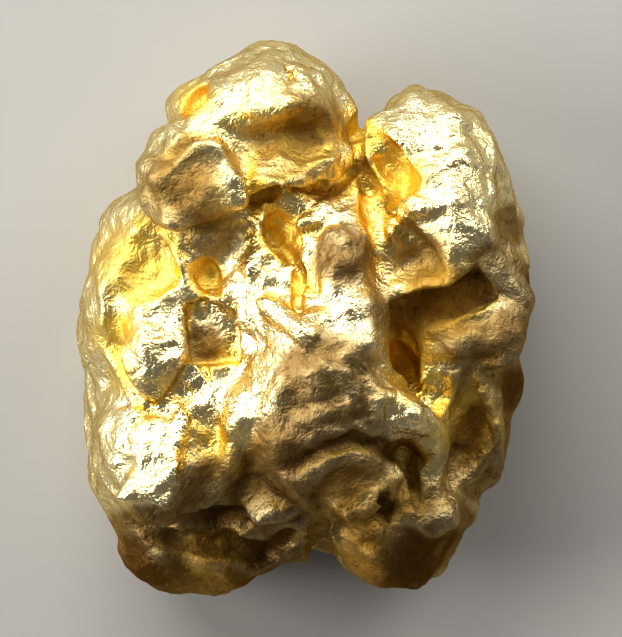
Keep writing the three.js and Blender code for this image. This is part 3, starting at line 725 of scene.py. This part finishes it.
class NuggetSettings(bpy.types.PropertyGroup):
    """Size, roughness and colours of the nugget."""

    width: length_setting("Width", "Across the nugget", HIGH.x - LOW.x)
    length: length_setting("Length", "From feet to crown", HIGH.y - LOW.y)
    height: length_setting("Height", "Above its worn flat", HIGH.z - LOW.z)
    cell: FloatProperty(
        name="Skin detail", description="Edge of the cells that the skin is drawn in, mm", default=0.09,
        min=0.06,
    )
    crumple: FloatProperty(
        name="Crumple", description="Height of the lumps, folds and pits of the skin, mm", default=0.1, min=0
    )
    grain: FloatProperty(name="Grain", description="Height of the finest grit, mm", default=0.008, min=0)
    polish: FloatProperty(
        name="Polish", description="Roughness of the bare gold", default=0.24, min=0.02, max=1,
        subtype="FACTOR",
    )
    gold: colour_setting("Gold", "Bare gold", (1.0, 0.85, 0.47))
    old_gold: colour_setting("Old gold", "Gold that has dulled", (0.8, 0.64, 0.28))
    edge: colour_setting("Edge", "Tint of the gold seen edge on", (0.62, 0.45, 0.2))
    # Deep gold is a painted warm reflection in the hollows.
    reflected_gold: colour_setting("Deep gold", "Gold in shallow hollows", (0.95, 0.66, 0.11))
    # The film colours paint shade on the gold, darkest in the thick film.
    shaded_film: colour_setting("Film", "Thin brown film of earth and iron", (0.31, 0.195, 0.068))
    thick_shaded_film: colour_setting("Thick film", "Where the film is thickest", (0.125, 0.06, 0.015))
    # The amber colour is a painted warm reflection in the pits.
    amber_reflection: colour_setting("Amber film", "The film in pits and hollows", (0.43, 0.235, 0.032))
    stain: colour_setting("Stain", "Iron stain in the deepest places", (0.5, 0.345, 0.075))
    dirt: colour_setting("Dirt", "Specks of earth in the film and the pits", (0.13, 0.07, 0.022))


class StudioSettings(bpy.types.PropertyGroup):
    """Floor and light of the plain studio."""

    floor: colour_setting("Floor", "Pale floor", (0.42, 0.415, 0.405))
    key: FloatProperty(name="Key light", description="Power of the large light behind", default=0.32, min=0)
    fill: FloatProperty(name="Fill light", description="Power of the small light behind", default=0.09, min=0)
    side: FloatProperty(name="Side light", description="Power of the light on the left", default=0.17, min=0)
    sky: FloatProperty(name="Room light", description="Brightness of the room around", default=0.13, min=0)


# ---- Operators --------------------------------------------------------------------------------
OPEN_REACHES = (0.25, 0.6, 1.2)  # how far out a hollow is felt for, mm
OPEN_SHARES = (0.2, 0.4, 0.4)  # how much each of those counts
BACKING_DEPTH = 0.5  # how far in a crest is felt for, mm
CREST_BACKING, CREST_STEEPNESS = 0.95, 2.5  # backing under which a crest begins, and how fast it grows
FREE_HEIGHT = 0.15  # height over the worn flat by which the relief is whole, mm


class NUGGET_OT_gold(bpy.types.Operator):
    """Build the nugget of native gold"""

    bl_idname = "nugget.gold"
    bl_label = "Gold nugget"

    def execute(self, context):
        settings = context.scene.nugget
        noise.seed_set(NOISE_SEED)
        field = Field(settings.cell)
        field.put(LOBES)
        field.put(SIDE_HOLLOWS, hollow=True)
        field.put(RIDGES, on_surface=True)
        field.put(HOLLOWS, hollow=True, on_surface=True)
        field.put(EDGES, on_surface=True)
        field.put(FIST_GROOVE, hollow=True)
        field.put(FIST)
        field.put(NOTCH, hollow=True)
        field.wear_flat(FLAT_LEVEL)

        points, faces = outer_skin(*skin_of(field))
        outwards = field.slope(points)
        openness = [np.clip(field.at(points + outwards * reach) / reach, 0, 1) for reach in OPEN_REACHES]
        backing = np.clip(-field.at(points - outwards * BACKING_DEPTH) / BACKING_DEPTH, 0, 1)
        hollow = 1 - sum(share * opened for share, opened in zip(OPEN_SHARES, openness))
        crest = np.clip((CREST_BACKING - backing) * CREST_STEEPNESS, 0, 1) * openness[1]
        upper = upper_share(points)
        # Painted shade: how much of the brown film lies at each corner, fainter on the sides, where its edge
        # wanders.
        browned = share_of(wandering(points, 1 - upper), SHADED_BROWN) * (0.6 + 0.4 * upper)
        # Painted reflection: how much amber lies at each corner, on the upper face only.
        warmed = share_of(points, WARM_REFLECTION) * upper

        free = np.clip((points[:, 2] - FLAT_LEVEL) / FREE_HEIGHT, 0, 1)
        points = points + outwards * (relief(points, outwards, settings) * free)[:, None]
        points[:, 2] = np.maximum(points[:, 2], FLAT_LEVEL)

        low, high = points.min(0), points.max(0)
        size = np.array((settings.width, settings.length, settings.height))
        middle = np.array(((low[0] + high[0]) / 2, (low[1] + high[1]) / 2, low[2]))
        centre = np.array(((LOW.x + HIGH.x) / 2, (LOW.y + HIGH.y) / 2, LOW.z))
        points = (points - middle) * size / (high - low) + centre

        mesh = bpy.data.meshes.new("gold_nugget")
        mesh.from_pydata(points.tolist(), [], faces.tolist())
        mesh.polygons.foreach_set("use_smooth", [True] * len(mesh.polygons))
        for name, values in (("hollow", hollow), ("crest", crest), ("browned", browned), ("warmed", warmed)):
            mesh.attributes.new(name, "FLOAT", "POINT").data.foreach_set("value", values.astype(np.float32))
        mesh.materials.append(native_gold(settings))
        mesh.validate()

        piece = bpy.data.objects.new("gold_nugget", mesh)
        context.scene.collection.objects.link(piece)
        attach(piece, "root")
        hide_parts("nugget")
        return {"FINISHED"}


AIM_HEIGHT = 0.004  # height that the lights look at
FLOOR_REACH = 0.6  # from the middle of the floor to its sides
FLOOR_GAP = 0.00002  # keeps the worn flat and the floor apart
LENS, SENSOR = 300, 36  # focal length and picture width of the camera, mm
CLIP = (0.001, 2)  # nearest and farthest that the camera sees
FRAMED_LEVEL = 0.45  # share of the nugget's height at which the framing is true
ROOM = (1.0, 0.97, 0.93)  # colour of the room's light
# Name, place, and width and height of each light; its name is also the name of its power's setting.
LIGHTS = (
    ("key", (-0.055, 0.12, 0.085), (0.16, 0.08)),
    ("fill", (0.085, 0.09, 0.075), (0.07, 0.07)),
    ("side", (-0.13, 0.0, 0.07), (0.07, 0.07)),
)


def soft_light(scene, name, place, size, power):
    """A large oblong light that looks at the nugget; size is its width and height."""
    data = bpy.data.lights.new(name, "AREA")
    data.shape, data.energy, data.color = "RECTANGLE", power, WARM
    data.size, data.size_y = size
    light = bpy.data.objects.new(name, data)
    light.location = place
    aim = Vector((0, 0, AIM_HEIGHT)) - Vector(place)
    light.rotation_euler = aim.to_track_quat("-Z", "Y").to_euler()
    scene.collection.objects.link(light)


class NUGGET_OT_studio(bpy.types.Operator):
    """Build the pale floor, the soft lights and the camera"""

    bl_idname = "nugget.studio"
    bl_label = "Studio"

    def execute(self, context):
        scene, settings = context.scene, context.scene.studio
        side = FLOOR_REACH
        mesh = bpy.data.meshes.new("floor")
        corners = [(-side, -side, 0), (side, -side, 0), (side, side, 0), (-side, side, 0)]
        mesh.from_pydata(corners, [], [(0, 1, 2, 3)])
        mesh.materials.append(plain_material("pale_floor", settings.floor, FLOOR_ROUGHNESS))
        floor = bpy.data.objects.new("floor", mesh)
        floor.location.z = LOW.z - FLOOR_GAP
        scene.collection.objects.link(floor)

        for name, place, size in LIGHTS:
            soft_light(scene, f"{name}_light", place, size, getattr(settings, name))

        scene.view_settings.view_transform = "Standard"
        world = bpy.data.worlds.new("room")
        world.use_nodes = True
        back = world.node_tree.nodes["Background"]
        back.inputs["Color"].default_value = colour(ROOM)
        back.inputs["Strength"].default_value = settings.sky
        scene.world = world

        camera = bpy.data.cameras.new("camera")
        camera.lens, camera.sensor_width = LENS, SENSOR
        camera.sensor_fit = "HORIZONTAL"
        camera.clip_start, camera.clip_end = CLIP
        frame_width = (HIGH.x - LOW.x) / PICTURE_SHARE
        distance = frame_width * LENS / SENSOR
        camera.shift_x, camera.shift_y = PICTURE_SHIFT
        viewer = bpy.data.objects.new("camera", camera)
        viewer.location = (0, 0, HIGH.z * FRAMED_LEVEL + distance)
        viewer.rotation_euler = Euler((0, 0, 0))  # straight down
        scene.collection.objects.link(viewer)
        scene.camera = viewer
        return {"FINISHED"}


class NUGGET_PT_panel(bpy.types.Panel):
    """Lists what can be built"""

    bl_label = "Gold nugget"
    bl_space_type = "VIEW_3D"
    bl_region_type = "UI"
    bl_category = "Nugget"

    def draw(self, context):
        column = self.layout.column()
        for group in (context.scene.nugget, context.scene.studio):
            for name in group.bl_rna.properties.keys():
                if name not in ("rna_type", "name"):
                    column.prop(group, name)
        for operator in OPERATORS:
            column.operator(operator.bl_idname)


OPERATORS = (NUGGET_OT_gold, NUGGET_OT_studio)
CLASSES = (NuggetSettings, StudioSettings, *OPERATORS, NUGGET_PT_panel)


def register():
    for each in CLASSES:
        bpy.utils.register_class(each)
    bpy.types.Scene.nugget = PointerProperty(type=NuggetSettings)
    bpy.types.Scene.studio = PointerProperty(type=StudioSettings)


def unregister():
    del bpy.types.Scene.nugget
    del bpy.types.Scene.studio
    for each in reversed(CLASSES):
        bpy.utils.unregister_class(each)


def main():
    register()
    bpy.ops.nugget.gold()
    bpy.ops.nugget.studio()


if __name__ == "__main__":
    main()
